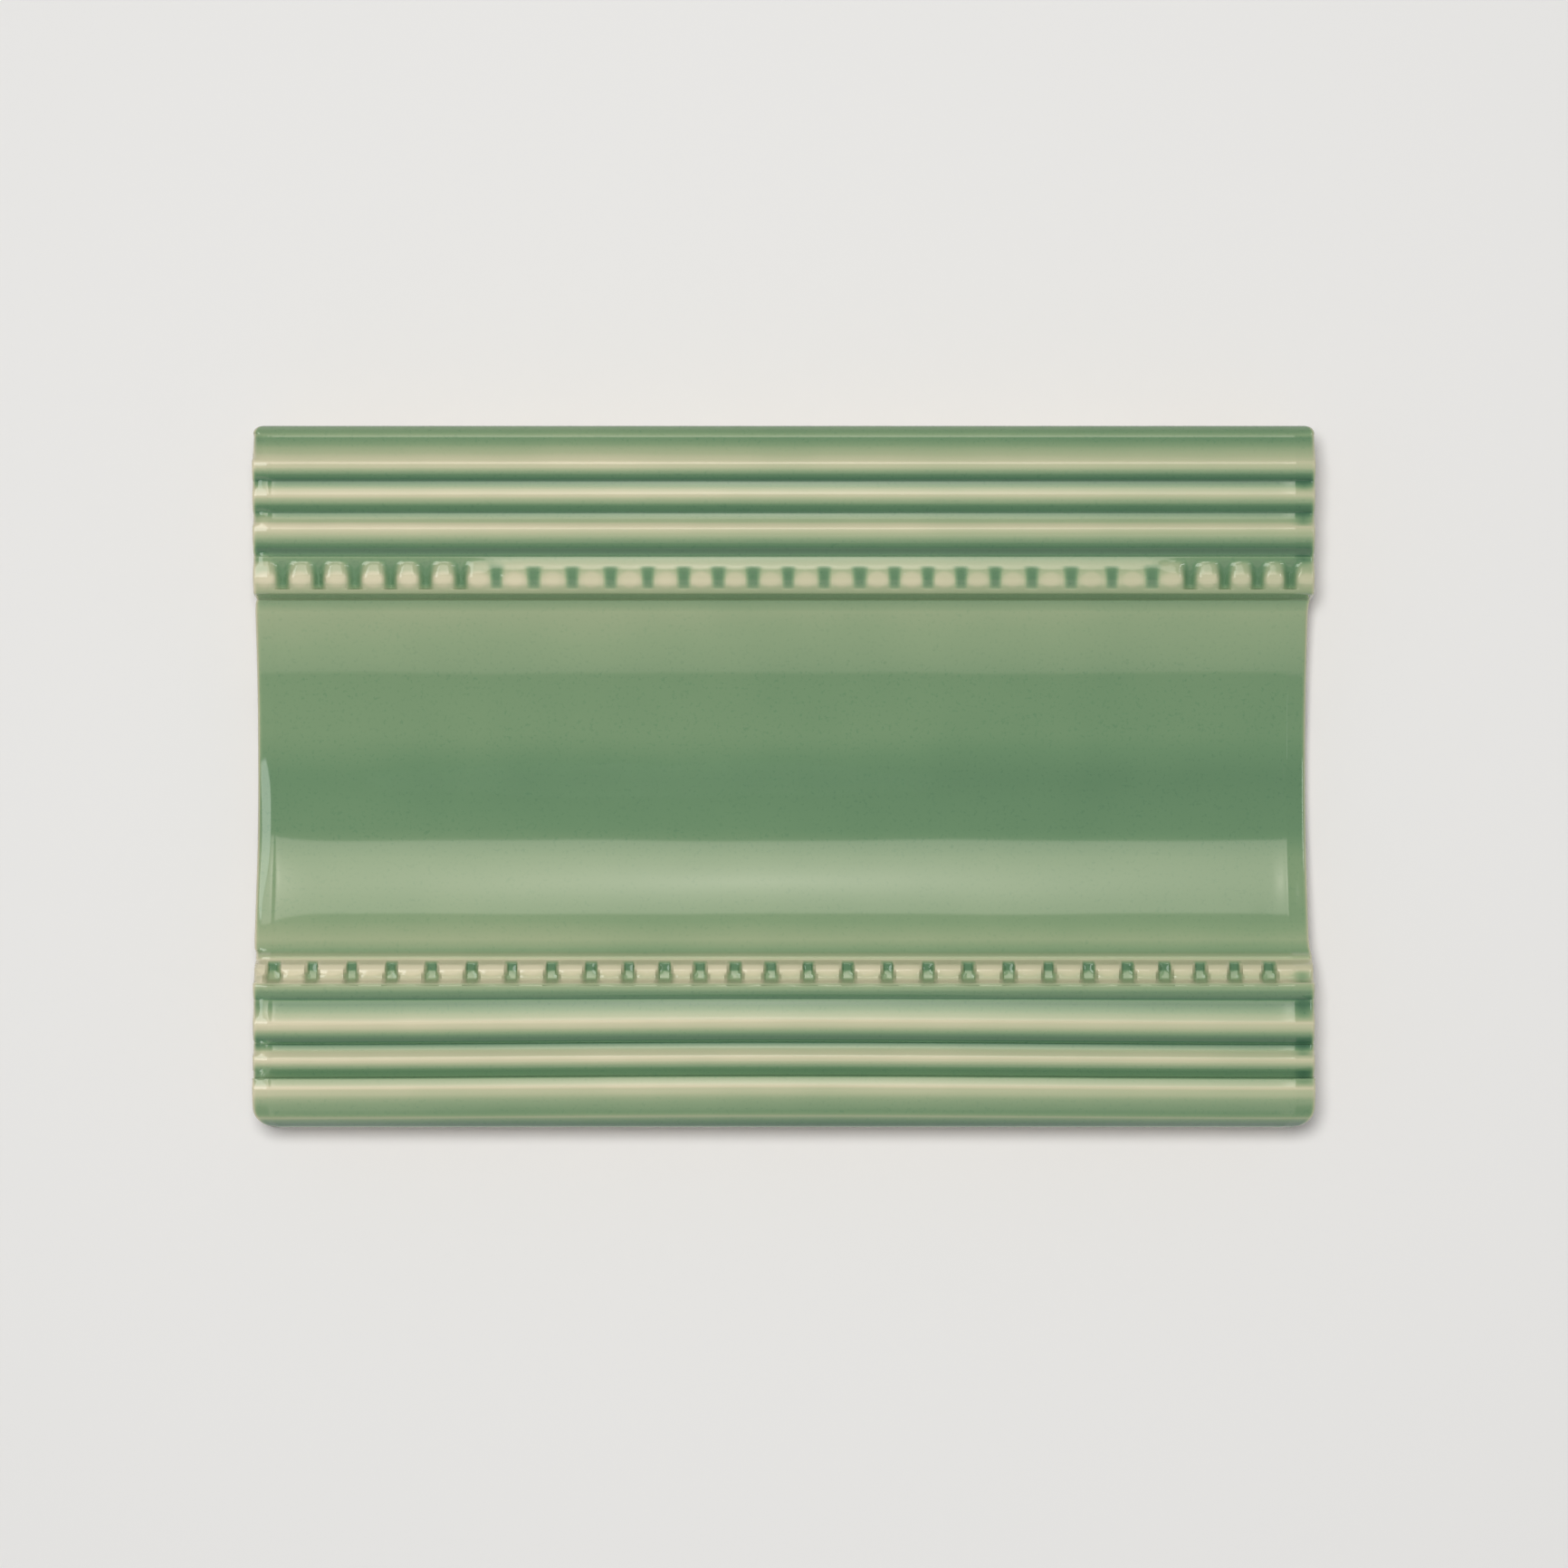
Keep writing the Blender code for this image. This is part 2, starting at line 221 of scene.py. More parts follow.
def wholeFace():
    # the face from shoulder to shoulder as (y, z, glaze), finely sampled
    shoulderTop = shoulderArc()[1][-1]
    upper = mouldRun(shoulderTop, upperMoulding["run"])
    footY, footZ = upper[-1, :2]
    settle = np.interp(-upper[:, 0], [-upperMoulding["settleFrom"], -footY],
                       [0, coveHeight(footY) - footZ])
    print("tile: step meets the cove", round(float(settle[-1]), 2), "mm off; crest",
          round(float(upper[:, 1].max()), 2))
    upper[:, 1] += settle
    coveY = np.arange(footY - meshing["evenStep"], cove["bottom"], -meshing["evenStep"])
    coveGlaze = np.array(cove["glaze"], float)
    hollow = np.stack([coveY, coveHeight(coveY),
                       np.interp(-coveY, -coveGlaze[:, 0], coveGlaze[:, 1])], 1)
    lower = mouldRun(coveHeight(cove["bottom"]), lowerMoulding["run"])
    print("tile: lower moulding from", round(float(lower[0, 1]), 2), "to crest",
          round(float(lower[:, 1].max()), 2), "and side", round(float(lower[-1, 1]), 2))
    return np.concatenate([upper, hollow, lower])


wholeSection = wholeFace()


def softened(points, reach):
    # the same face with its hollows and crests averaged over a short reach
    y = points[:, 0]
    even = np.arange(y[-1], y[0], meshing["evenStep"])
    z = np.interp(even, y[::-1], points[::-1, 1])
    kernel = np.hanning(int(2 * reach / meshing["evenStep"]) + 1)
    smooth = np.convolve(np.pad(z, len(kernel) // 2, mode="edge"), kernel / kernel.sum(), "valid")
    return np.interp(y - rims["fillShift"], even, smooth[:len(even)])


def inZones(y, zones):
    # true where y lies between the ends of any zone
    return np.any([(y > low) & (y < high) for low, high in zones], axis=0)


def resample(points):
    # pick rows so that each is a short step and a small turn from the last
    y = points[1:, 0]
    step = np.where(inZones(y, meshing["beadZones"]), meshing["beadStep"], meshing["reedStep"])
    step = np.where(inZones(y, meshing["coveZones"]), meshing["coveStep"], step)
    length = np.hypot(*np.diff(points[:, :2], axis=0).T)
    angle = np.degrees(np.arctan2(*np.diff(points[:, 1::-1], axis=0).T))
    turn = np.abs(np.diff(np.unwrap(angle, period=360), prepend=angle[0]))
    pace = np.concatenate([[0], np.cumsum(length / step + turn / meshing["turnPerRow"])])
    want = np.linspace(0, pace[-1], int(pace[-1]) + 2)
    return np.stack([np.interp(want, pace, points[:, k]) for k in range(points.shape[1])], 1)


def buildRing():
    # one closed section, from the foot of the upper side over the face and back along the bed
    face = resample(np.column_stack([wholeSection, softened(wholeSection, rims["fillReach"])]))
    rows = []

    def wallRow(y, z, inward, glaze, below):
        rows.append((y, z, inward, 0, glaze, below, 0, 0, z))

    def backRow(y, z, inward):
        rows.append((y, z, inward, 0, keyedBack["glaze"], keyedBack["belowRim"], 1, 0, z))

    upSide = tileHeight / 2
    levels = np.array(meshing["wallLevels"])
    foot = meshing["wallFoot"]
    footRoll = meshing["footRoll"]          # share of the end's roll left at the foot of a side
    chamfer = rims["backChamfer"]
    backRow(upSide - chamfer, 0, -footRoll)
    backRow(upSide, chamfer, -footRoll)
    top = upperMoulding["sideTop"]
    for level in levels[::-1]:
        z = top + (foot - top) * level
        wallRow(upSide, z, -1 + (1 - footRoll) * level, rims["wallGlaze"], top - z)
    for y, z, angle in list(zip(*shoulderArc()))[:-1]:
        rows.append((y, z, -math.cos(angle), -math.sin(angle), upperMoulding["sideGlaze"],
                     0, 0, 0, z))
    for y, z, glaze, soft in face:
        rows.append((y, z, 0, -1, glaze, 0, 0, inZones(y, meshing["fineZones"]), soft))
    side = face[-1, placeZ] - lowerMoulding["sideDrop"]
    for level in np.concatenate([[0], levels]):
        z = side + (foot - side) * level
        wallRow(-upSide, z, 1 - (1 - footRoll) * level, lowerMoulding["sideGlaze"],
                max(side - z, rims["justBelow"]))
    backRow(-upSide, chamfer, footRoll)
    backRow(-upSide + chamfer, 0, footRoll)
    for i in range(keyedBack["count"]):
        mid = (i - (keyedBack["count"] - 1) / 2) * keyedBack["pitch"]
        backRow(mid - keyedBack["mouth"] / 2, 0, 0)
        backRow(mid - keyedBack["floor"] / 2, keyedBack["depth"], 0)
        backRow(mid + keyedBack["floor"] / 2, keyedBack["depth"], 0)
        backRow(mid + keyedBack["mouth"] / 2, 0, 0)
    return np.array(rows, float)


def beadCentres(row):
    centres = []
    for i in range(row["count"]):
        even = row["first"] + i * row["pitch"]
        shift = sum(size * math.sin(math.tau * (waves * even / tileLength + turn))
                    for waves, size, turn in row["drift"])
        centres.append(even + shift)
    return centres


def smoothStep(low, high, value):
    share = np.clip((value - low) / (high - low), 0, 1)
    return share * share * (3 - 2 * share)


def besideSection(run, y, meets):
    # height of another run above the main section at each place, and the run's glaze;
    # both runs start level, and end level where one meets the other
    run = np.array(run, float)
    step = meshing["runStep"]
    along = np.arange(run[0, 0], run[-1, 0], -step)
    slope = np.tan(np.radians(np.interp(-along, -run[:, 0], run[:, 1])))
    main = np.interp(-along, -wholeSection[:, 0], wholeSection[:, 1])
    rise = np.concatenate([[0], np.cumsum((slope[1:] + slope[:-1]) / 2)]) * step
    above = main[0] - main + rise
    if meets:
        above = above - above[-1] * np.linspace(0, 1, len(along))
    else:
        above = np.minimum(above, 0)
    return (np.interp(-y, -along, above, left=0, right=0),
            np.interp(-y, -run[:, 0], run[:, 2]))


def beadPlan(row, x, y):
    # how far each place lies in a gap between beads, and how far up a bead's crown
    rng = np.random.default_rng(row["seed"])
    centres = beadCentres(row)
    gapShare, crown = np.zeros_like(x), np.zeros_like(x)
    for left, right in zip(centres, centres[1:]):
        off = (y - row["gapMid"] - rng.normal(0, beadWork["gapWander"])) / row["gapHalfLength"]
        flare = 1 + row["flare"] * np.minimum(off * off, row["flareMost"])
        wide = row["gapHalfWidth"] * rng.uniform(*beadWork["gapSpread"]) * flare
        out = np.abs(x - (left + right) / 2) / wide
        gapShare = np.maximum(gapShare, 1 - smoothStep(row["gapFlat"], 1, out))
    wide, long = row["crownHalf"]
    for centre in centres:
        out = ((x - centre) / wide) ** 2 + ((y - row["crownMid"]) / long) ** 2
        size = rng.uniform(*beadWork["crownSpread"])
        crown = np.maximum(crown, np.clip(1 - out, 0, 1) * size)
    return gapShare, crown


def beading(row, x, y):
    # height to add and glaze to mix in, with its share, at each place
    gapShare, crown = beadPlan(row, x, y)
    fall, gapGlaze = besideSection(row["gapRun"], y, False)
    lift, glazeShift, depth = np.zeros_like(x), np.zeros_like(x), 1.0
    if "endRun" in row:
        toEnd = np.where(x < 0, smoothStep(row["endFrom"][0], row["endTo"][0], -x),
                         smoothStep(row["endFrom"][1], row["endTo"][1], x))
        depth = row["middleDepth"] + (1 - row["middleDepth"]) * smoothStep(*row["deepen"], toEnd)
        lift, endGlaze = besideSection(row["endRun"], y, True)
        endFall, endGapGlaze = besideSection(row["endGapRun"], y, False)
        inRun = (y < row["endRun"][0][0]) & (y > row["endRun"][-1][0])
        glazeShift = np.where(inRun, toEnd, 0) * (endGlaze - np.interp(
            -y, -wholeSection[:, 0], wholeSection[:, 2]))
        fall = fall + (endFall - fall) * toEnd
        gapGlaze = gapGlaze + (endGapGlaze - gapGlaze) * toEnd
        lift = lift * toEnd * (1 - gapShare)
    share = gapShare * smoothStep(0, beadWork["shallowGap"], -fall)
    return lift + row["crown"] * crown + share * fall * depth, share, gapGlaze, crown, glazeShift


def handWaves(x, y):
    # gentle waviness of hand pressing, a few long sines added together
    rng = np.random.default_rng(pressing["seed"])
    total = np.zeros_like(x)
    for wave in range(pressing["waves"]):
        lengthX = rng.uniform(*pressing["lengthX"])
        lengthY = rng.uniform(*pressing["lengthY"])
        total += np.sin(x * math.tau / lengthX + rng.uniform(*pressing["phase"])) * np.sin(
            y * math.tau / lengthY + rng.uniform(*pressing["phase"]))
    return pressing["size"] * total / math.sqrt(pressing["waves"])


def quarterDrop(distance, radius):
    # how far a rounded edge has fallen away at a distance in from the edge
    reach = np.clip(radius - distance, 0, radius)
    return radius - np.sqrt(np.maximum(radius ** 2 - reach ** 2, 0))


def plateau(y, start, stop):
    # 0 outside, 1 between, with a smooth step up over start and down over stop
    return smoothStep(*start, y) * (1 - smoothStep(*stop, y))


def hump(distance, width):
    return np.exp(-(distance / width) ** 2)


def endLip(x, endGap, inCove):
    # a low lip of glaze: short steep inner side, long fall to the end
    at = rims["lipAt"] + rims["lipSkew"] * np.sign(x)
    inside = rims["lipHeight"] * hump(np.maximum(endGap - at, 0), rims["lipInside"])
    slope = np.radians(np.where(inCove & (x < 0), rims["coveFall"], rims["lipFall"]))
    fall = np.tan(slope) * np.maximum(at - endGap, 0)
    return inside - fall * smoothStep(0, rims["lipEase"], at - endGap)


def pressBeads(x, y, z, glaze, onFace):
    # both rows of beads, with clear crowns and glaze pooled in the gaps
    for row in (upperBeads, lowerBeads):
        lift, share, gapGlaze, crown, glazeShift = beading(row, x, y)
        z = z + np.where(onFace, lift, 0)
        glaze = glaze + np.where(onFace, glazeShift, 0)
        glaze = glaze + (row["crownGlaze"] - glaze) * beadWork["crownClear"] * smoothStep(
            0, beadWork["crownFull"], crown) * onFace
        glaze = glaze + (gapGlaze - glaze) * smoothStep(
            row["glazeFrom"], beadWork["glazeFull"], share) * onFace
    return z, glaze


def fillQuirks(x, z, endGap, hollow, inReeds):
    # glaze fills the quirks at the left end and runs off them at the right
    nearEnd = hump(endGap - rims["fillAt"], rims["fillWidth"])
    nearEnd = np.where(endGap < rims["fillAt"], np.maximum(nearEnd, rims["fillKept"]), nearEnd)
    z = z + np.where(x < 0, rims["fill"] * nearEnd, 0) * hollow * inReeds
    fall = rims["rightFall"] * np.maximum(rims["rightFallFrom"] - endGap, 0)
    return z - np.where(x < 0, 0, fall) * (
        smoothStep(0, rims["fullHollow"]["fall"], hollow) * inReeds)


def bendFace(x, y, z, endGap, onFace, inCove):
    # swelling low in the cove, lips at both ends, and the turned-down left end of the cove
    swell = np.exp(-((y - rims["swellMid"]) / rims["swellReach"]) ** 2
                   - (endGap / np.where(x < 0, *rims["swellIn"])) ** 2)
    z = z + np.where(onFace, rims["swell"] * swell, 0)
    z = z + np.where(onFace, handWaves(x, y) + endLip(x, endGap, inCove), 0)
    tip = hump(y - rims["tipMid"], rims["tipReach"]) * inCove * (x < 0)
    return z - rims["tip"] * tip * np.maximum(rims["tipAt"] - endGap, 0) ** 2 / rims["tipEase"]


def rimRoll(x, z, ring, endGap, hollow, inCove):
    # how far each place is rolled in at the rim of an end
    radius = rims["endRoll"] + np.where(
        inCove, rims["coveRoll"],
        np.where(x < 0, *rims["hollowRoll"]) * smoothStep(0, rims["fullHollow"]["roll"], hollow))
    roll = np.minimum(quarterDrop(endGap, radius), z - meshing["wallFoot"] - meshing["wallRoom"])
    return np.where(ring[:, inwardY] != 0, quarterDrop(endGap, rims["endRoll"]), roll)


def glazeNearEnd(x, glaze, ring, endGap, hollow, inReeds):
    # deeper glaze in the right quirks, thinner glaze in the left ones as painted reflection, and a
    # thin arris
    poolAndPaintedLight = hump(endGap - rims["poolAt"], rims["poolWidth"]) * smoothStep(
        0, rims["fullHollow"]["pool"], hollow) * inReeds
    glaze = np.where(x > 0, glaze + rims["pool"] * poolAndPaintedLight, glaze * (1 - rims["clear"] * poolAndPaintedLight))
    arris = hump(endGap - rims["arrisAt"], rims["arrisWidth"])
    return glaze * (1 - rims["arrisThin"] * arris * (ring[:, belowRim] <= 0))


def placePoints(x, ring):
    # x and ring rows to finished places and glaze depth, all in millimetres
    y, z, glaze = ring[:, placeY], ring[:, placeZ], ring[:, glazeAndShadeHere]
    half = tileHeight / 2
    endGap = tileLength / 2 - np.abs(x)
    onFace = (ring[:, inwardZ] == -1) & (ring[:, bareBack] == 0)
    inCove = onFace & inZones(y, [cove["span"]])
    inReeds = plateau(np.abs(y), rims["reedsFrom"], rims["reedsTo"])
    hollow = np.where(onFace, np.clip(ring[:, softZ] - z, 0, 1), 0)

    z, glaze = pressBeads(x, y, z, glaze, onFace)
    z = fillQuirks(x, z, endGap, hollow, inReeds)
    z = bendFace(x, y, z, endGap, onFace, inCove)
    glaze = glazeNearEnd(x, glaze, ring, endGap, hollow, inReeds)
    roll = rimRoll(x, z, ring, endGap, hollow, inCove)
    y = y + ring[:, inwardY] * roll
    z = z + ring[:, inwardZ] * roll

    # bow of the lower moulding, rounded corners, and the cove's ends set a little to the left
    bow = rims["bow"] * plateau(-y, rims["bowFrom"], rims["bowTo"])
    y = y + np.where(onFace, bow * np.cos(math.tau * x / tileLength), 0)
    cut = quarterDrop(half + y, rims["lowerCorner"]) + quarterDrop(half - y, rims["upperCorner"])
    newX = x - np.sign(x) * cut * np.clip(1 - endGap / rims["cornerReach"], 0, 1)
    newX = newX - rims["coveShift"] * onFace * plateau(y, rims["shiftFrom"], rims["shiftTo"])
    return np.stack([newX, y, z], 1), glaze


def columnPlaces():
    # places along the tile for plain rows and for bead rows, and where each plain one starts
    ends = np.array(meshing["endColumns"])
    half = tileLength / 2
    inner = np.linspace(-half + ends[-1], half - ends[-1],
                        int(round((tileLength - 2 * ends[-1]) / meshing["column"])) + 1)
    coarse = np.concatenate([-half + ends[:-1], inner, half - ends[:-1][::-1]])
    fine, start = [], [0]
    for k in range(len(coarse) - 1):
        wide = coarse[k + 1] - coarse[k] > meshing["wideColumn"]
        parts = meshing["beadColumns"] if wide else 1
        fine += list(np.linspace(coarse[k], coarse[k + 1], parts + 1)[:-1])
        start.append(len(fine))
    fine.append(coarse[-1])
    return coarse, np.array(fine), start


class Shell:
    # points, faces and what they carry, gathered as the tile is built
    def __init__(self):
        self.places, self.glaze, self.below, self.faces, self.bare = [], [], [], [], []
        self.count = 0

    def addPoints(self, spots, glaze, below):
        self.places.append(spots)
        self.glaze.append(glaze)
        self.below.append(below)
        self.count += len(spots)
        return list(range(self.count - len(spots), self.count))

    def addFace(self, corners, bare=0):
        self.faces.append(tuple(corners))
        self.bare.append(bare)


def sweepRows(shell, ring, coarse, fine):
    # each row of the section becomes a line of points along the tile
    lines = []
    for row in ring:
        xs = fine if row[fineRow] else coarse
        block = np.repeat(row[None], len(xs), 0)
        spots, glaze = placePoints(xs, block)
        lines.append(shell.addPoints(spots, glaze, block[:, belowRim]))
    return lines


def joinLines(shell, ring, lines, coarse, start):
    # faces between neighbouring lines; a fine line meets a plain one in many-sided faces
    def stretch(r, k):
        if ring[r, fineRow]:
            return lines[r][start[k]:start[k + 1] + 1]
        return lines[r][k:k + 2]

    for r in range(len(ring)):
        s = (r + 1) % len(ring)
        bare = 1 if ring[r, bareBack] and ring[s, bareBack] else 0
        for k in range(len(coarse) - 1):
            above, below = stretch(r, k), stretch(s, k)
            if len(above) == len(below):
                for j in range(len(above) - 1):
                    shell.addFace((above[j], below[j], below[j + 1], above[j + 1]), bare)
            else:
                shell.addFace(below + above[::-1], bare)


def closeEnd(shell, ring, rim, places, flip):
    # an end wall from the rim of the face down to its foot, and bare clay below that
    levels = np.array(meshing["wallLevels"])
    wall = len(levels)
    first = 2 + wall                                    # first row of the upper shoulder
    last = next(r for r in range(first, len(ring)) if ring[r, belowRim] > 0) - 1
    grid = []
    for r in range(first, last + 1):
        if r == first:
            column = [rim[first - 1 - k] for k in range(wall)]
        elif r == last:
            column = [rim[last + 1 + k] for k in range(wall)]
        else:
            x, y, top = places[rim[r]]
            z = top + (meshing["wallFoot"] - top) * levels
            column = shell.addPoints(
                np.stack([np.full(wall, x), np.full(wall, y), z], 1),
                np.full(wall, rims["wallGlaze"]), np.maximum(top - z, rims["justBelow"]))
        grid.append([rim[r]] + column)
    for near, far in zip(grid, grid[1:]):
        for k in range(wall):
            quad = (near[k], near[k + 1], far[k + 1], far[k])
            shell.addFace(quad[::-1] if flip else quad)
    loop = [column[-1] for column in grid] + rim[last + 1 + wall:] + rim[:2]
    shell.addFace(loop if flip else loop[::-1], 1)


def buildTile():
    shell = Shell()
    ring = buildRing()
    coarse, fine, start = columnPlaces()
    lines = sweepRows(shell, ring, coarse, fine)
    joinLines(shell, ring, lines, coarse, start)
    places = np.concatenate(shell.places)
    closeEnd(shell, ring, [line[0] for line in lines], places, False)
    closeEnd(shell, ring, [line[-1] for line in lines], places, True)
    return shell


def makeTileObject():
    shell = buildTile()
    mesh = bpy.data.meshes.new("glazedCorniceTile")
    mesh.from_pydata((np.concatenate(shell.places) * mm).tolist(), [], shell.faces)
    mesh.validate()
    # the glaze depth layer carries painted shade as well as real pooling
    for name, values in (("glazeAndShadeDepth", shell.glaze), ("belowRim", shell.below)):
        layer = mesh.attributes.new(name, "FLOAT", "POINT")
        layer.data.foreach_set("value", np.concatenate(values).astype(np.float32))
    mesh.polygons.foreach_set("material_index", np.array(shell.bare, np.int32))
    mesh.shade_smooth()
    mesh.set_sharp_from_angle(angle=math.radians(meshing["sharpFrom"]))
    mesh.update()
    piece = bpy.data.objects.new("glazedCorniceTile", mesh)
    bpy.context.scene.collection.objects.link(piece)
    print("tile: mesh has", len(mesh.polygons), "faces and",
          sum(len(p.vertices) - 2 for p in mesh.polygons), "triangles")
    return piece


# Celadon glaze: clear and cream where thin, sea green where it pools; its depth also carries
# painted shade
celadon = {
    "colours": [(0, (.660, .612, .430)), (.05, (.565, .542, .365)), (.2, (.385, .437, .265)),
                (.45, (.230, .333, .184)), (.7, (.137, .250, .132)), (1.0, (.073, .167, .090)),
                (1.25, (.044, .123, .066))],
    "gloss": .06, "ior": 1.5,
    "clouding": .10, "cloudSize": 14,
    "mottle": .09, "mottleSize": .55, "mottleRange": (.56, .74), "mottleDepth": (.1, .6),
    "towardRight": .05,      # glaze depth rises towards the right end, so the colour there is darker and greener
    "edgeBelow": 2.6, "edgeWander": 1.6, "wanderSize": 6, "edgeSoft": .12,
    "rollFrom": 1.1, "rollTo": .2, "rollDepth": .45,        # thicker glaze just above its edge
    "thickness": .35, "edgeBump": .6,
}
biscuit = {
    "colour": (.70, .63, .50), "dark": (.56, .48, .36), "toneRange": (.3, .8),
    "grainSize": .35, "grainShare": .45, "grainRange": (.2, .8), "patchSize": 9, "patchShare": .6,
    "roughness": .86, "edgeGrain": .12,
    "backRoughness": (.8, .95), "backGrain": .3, "backBump": .5, "backRelief": .3,
    "pitSize": 1.4, "pitRange": (.62, .7), "pitDepth": -.5,
}


class Nodes:
    # small helper for wiring a material's nodes by name
    def __init__(self, name):
        self.material = bpy.data.materials.new(name)
        self.material.use_nodes = True
        self.tree = self.material.node_tree
        self.shader = self.tree.nodes["Principled BSDF"]

    def add(self, kind, settings=None, **inputs):
        node = self.tree.nodes.new(kind)
        for key, value in (settings or {}).items():
            setattr(node, key, value)
        for key, value in inputs.items():
            self.feed(node.inputs[key], value)
        return node

    def feed(self, slot, value):
        if hasattr(value, "is_output"):
            self.tree.links.new(value, slot)
        else:
            slot.default_value = value

    def maths(self, operation, a, b=0.0, c=0.0):
        node = self.add("ShaderNodeMath", {"operation": operation})
        for slot, value in zip(node.inputs, (a, b, c)):
            self.feed(slot, value)
        return node.outputs[0]

    def noise(self, place, sizeMm, detail=2.0, rough=.5):
        node = self.add("ShaderNodeTexNoise", Vector=place, Scale=1 / (sizeMm * mm),
                        Detail=detail, Roughness=rough)
        return node.outputs[0]

    def remap(self, value, lowIn, highIn, lowOut, highOut):
        node = self.add("ShaderNodeMapRange", {"clamp": True})
        for slot, item in zip(node.inputs[:5], (value, lowIn, highIn, lowOut, highOut)):
            self.feed(slot, item)
        return node.outputs[0]

    def blend(self, share, a, b):
        # the colour sockets of the mix node are 6 and 7, and its colour comes out at 2
        node = self.add("ShaderNodeMix", {"data_type": "RGBA"})
        self.feed(node.inputs[0], share)
        for slot, item in ((node.inputs[6], a), (node.inputs[7], b)):
            self.feed(slot, item + (1,) if isinstance(item, tuple) else item)
        return node.outputs[2]


def glazeRamp(nodes, depth):
    deepest = celadon["colours"][-1][0]
    ramp = nodes.add("ShaderNodeValToRGB", Fac=nodes.maths("DIVIDE", depth, deepest))
    stops = ramp.color_ramp.elements
    while len(stops) < len(celadon["colours"]):
        stops.new(.5)
    for stop, (glaze, colour) in zip(stops, celadon["colours"]):
        stop.position = glaze / deepest
        stop.color = (*colour, 1)
    return ramp.outputs[0]


def bareClay(nodes, place):
    grain = nodes.noise(place, biscuit["grainSize"], detail=4.0, rough=.6)
    patches = nodes.noise(place, biscuit["patchSize"], detail=3.0, rough=.55)
    tone = nodes.maths("MULTIPLY_ADD", grain, biscuit["grainShare"],
                       nodes.maths("MULTIPLY", patches, biscuit["patchShare"]))
    colour = nodes.blend(nodes.remap(tone, *biscuit["toneRange"], 0, 1),
                         biscuit["dark"], biscuit["colour"])
    return colour, grain


def celadonMaterial():
    nodes = Nodes("celadonGlaze")
    place = nodes.add("ShaderNodeTexCoord").outputs["Object"]
    # glaze depth with painted shade folded in; it darkens the colour where the face turns down
    poolAndPaintedLight = nodes.add("ShaderNodeAttribute", {"attribute_name": "glazeAndShadeDepth"}).outputs["Fac"]
    below = nodes.add("ShaderNodeAttribute", {"attribute_name": "belowRim"}).outputs["Fac"]

    clouds = nodes.noise(place, celadon["cloudSize"])
    mottle = nodes.noise(place, celadon["mottleSize"], rough=.6)
    depth = nodes.maths("MULTIPLY_ADD", nodes.maths("SUBTRACT", clouds, .5),
                        celadon["clouding"], poolAndPaintedLight)
    along = nodes.add("ShaderNodeSeparateXYZ", Vector=place).outputs[0]
    depth = nodes.maths("MULTIPLY_ADD", along, celadon["towardRight"] / (tileLength / 2 * mm),
                        depth)
    speck = nodes.remap(mottle, *celadon["mottleRange"], 0, celadon["mottle"])
    depth = nodes.maths("MULTIPLY_ADD", speck,
                        nodes.remap(poolAndPaintedLight, *celadon["mottleDepth"], 0, 1), depth)

    # the glaze stops at an uneven edge below the rim, with bare clay under it
    wander = nodes.noise(place, celadon["wanderSize"], detail=3.0)
    edge = nodes.maths("MULTIPLY_ADD", nodes.maths("SUBTRACT", wander, .5),
                       -2 * celadon["edgeWander"], below)
    at, soft = celadon["edgeBelow"], celadon["edgeSoft"]
    bareShare = nodes.remap(edge, at - soft, at + soft, 0, 1)
    roll = nodes.remap(edge, at - celadon["rollFrom"], at - celadon["rollTo"],
                       0, celadon["rollDepth"])
    depth = nodes.maths("ADD", depth, roll)

    clay, grain = bareClay(nodes, place)
    colour = nodes.blend(bareShare, glazeRamp(nodes, depth), clay)
    nodes.feed(nodes.shader.inputs["Base Color"], colour)
    nodes.feed(nodes.shader.inputs["Roughness"],
               nodes.remap(bareShare, 0, 1, celadon["gloss"], biscuit["roughness"]))
    nodes.shader.inputs["IOR"].default_value = celadon["ior"]

    lift = nodes.maths("MULTIPLY", nodes.maths("SUBTRACT", 1.0, bareShare), celadon["thickness"])
    height = nodes.maths("MULTIPLY_ADD", grain,
                         nodes.maths("MULTIPLY", bareShare, biscuit["edgeGrain"]), lift)
    bump = nodes.add("ShaderNodeBump", Height=height, Strength=celadon["edgeBump"], Distance=mm)
    nodes.feed(nodes.shader.inputs["Normal"], bump.outputs[0])
    return nodes.material


def biscuitMaterial():
    nodes = Nodes("bareBiscuit")
    place = nodes.add("ShaderNodeTexCoord").outputs["Object"]
    clay, grain = bareClay(nodes, place)
    nodes.feed(nodes.shader.inputs["Base Color"], clay)
    nodes.feed(nodes.shader.inputs["Roughness"],
               nodes.remap(grain, *biscuit["grainRange"], *biscuit["backRoughness"]))
    pits = nodes.remap(nodes.noise(place, biscuit["pitSize"]), *biscuit["pitRange"],
                       0, biscuit["pitDepth"])
    height = nodes.maths("MULTIPLY_ADD", grain, biscuit["backGrain"], pits)
    bump = nodes.add("ShaderNodeBump", Height=height, Strength=biscuit["backBump"],
                     Distance=biscuit["backRelief"] * mm)
    nodes.feed(nodes.shader.inputs["Normal"], bump.outputs[0])
    return nodes.material


